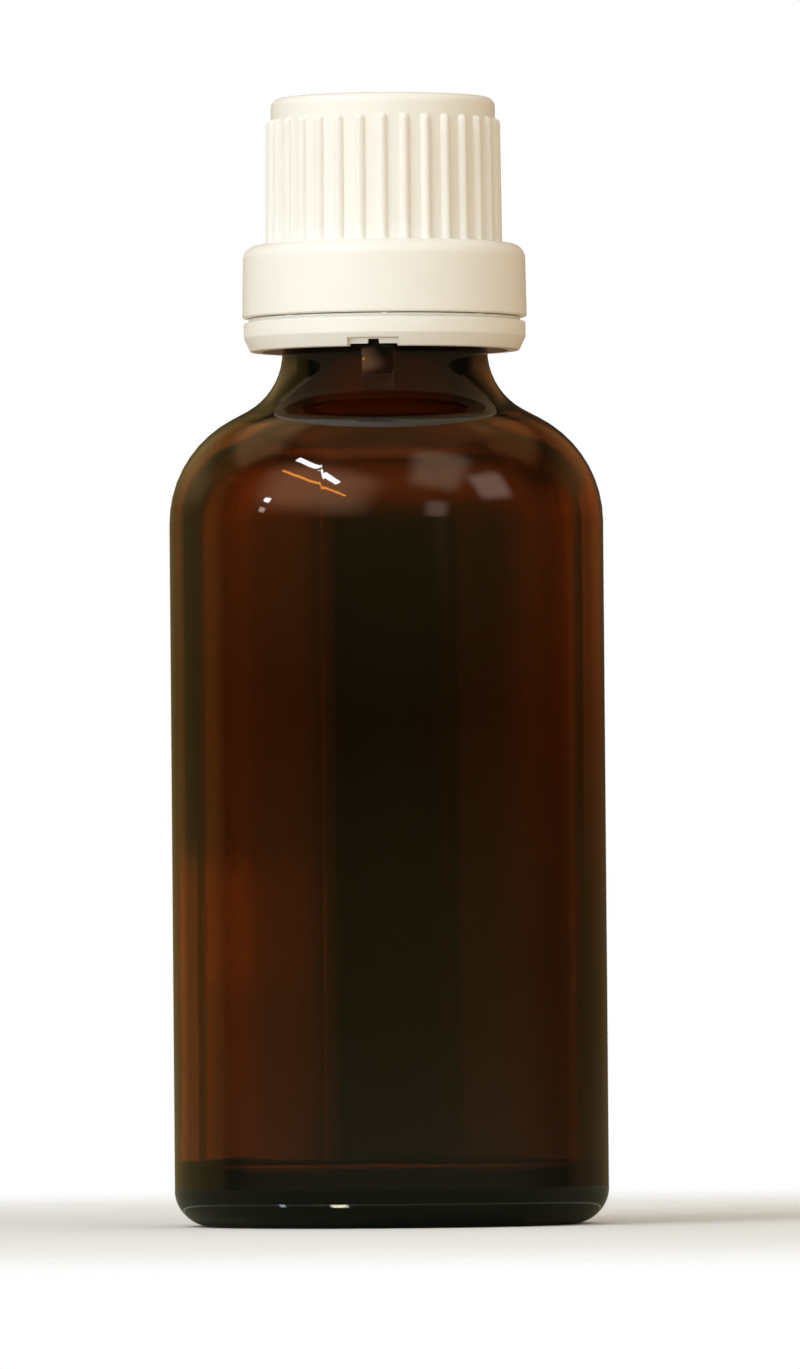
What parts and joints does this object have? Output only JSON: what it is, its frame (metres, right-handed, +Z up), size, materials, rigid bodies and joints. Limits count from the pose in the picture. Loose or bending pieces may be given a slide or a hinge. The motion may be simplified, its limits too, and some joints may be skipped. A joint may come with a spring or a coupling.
{
  "type": "pharmacy bottle",
  "caption": "Round amber glass bottle with a curved shoulder and narrow neck, a pressed-in dropper insert, and a ribbed white screw cap above a tear-off tamper-evident ring.",
  "frame": {"origin": "on the bottle's axis, in the plane of the standing ring under its base", "axes": "+Z up along the bottle's axis; -Y to the front, where a release notch of the ring lies 5 degrees round towards -X"},
  "size_m": [0.037, 0.037, 0.0959],
  "materials": {
    "amber_glass": "blown amber glass, very dark red-brown, polished",
    "natural_polyethylene": "unpigmented low-density polyethylene, waxy and translucent",
    "tube_polyethylene": "extruded polyethylene tube, satin",
    "white_polyethylene": "moulded warm white, satin",
    "white_polypropylene": "moulded warm white, satin"
  },
  "bodies": {
    "bottle": {"glass_bottle": "amber_glass", "dropper_insert": "natural_polyethylene", "vent_tube": "tube_polyethylene"},
    "ring": {"tamper_ring": "white_polyethylene"},
    "cap": {"screw_cap": "white_polypropylene"}
  },
  "joints": [
    {"name": "closure_turn", "type": "hinge", "parent": "bottle", "child": "ring", "pos_m": [0, 0, 0.0755], "axis": [0, 0, 1], "range_deg": [0, 2160]},
    {"name": "cap_rise", "type": "slide", "parent": "ring", "child": "cap", "axis": [0, 0, 1], "range_m": [0, 0.0181]}
  ],
  "couplings": [
    {"joint": "cap_rise", "follows": "closure_turn", "m_per_rad": 0.00047746}
  ]
}
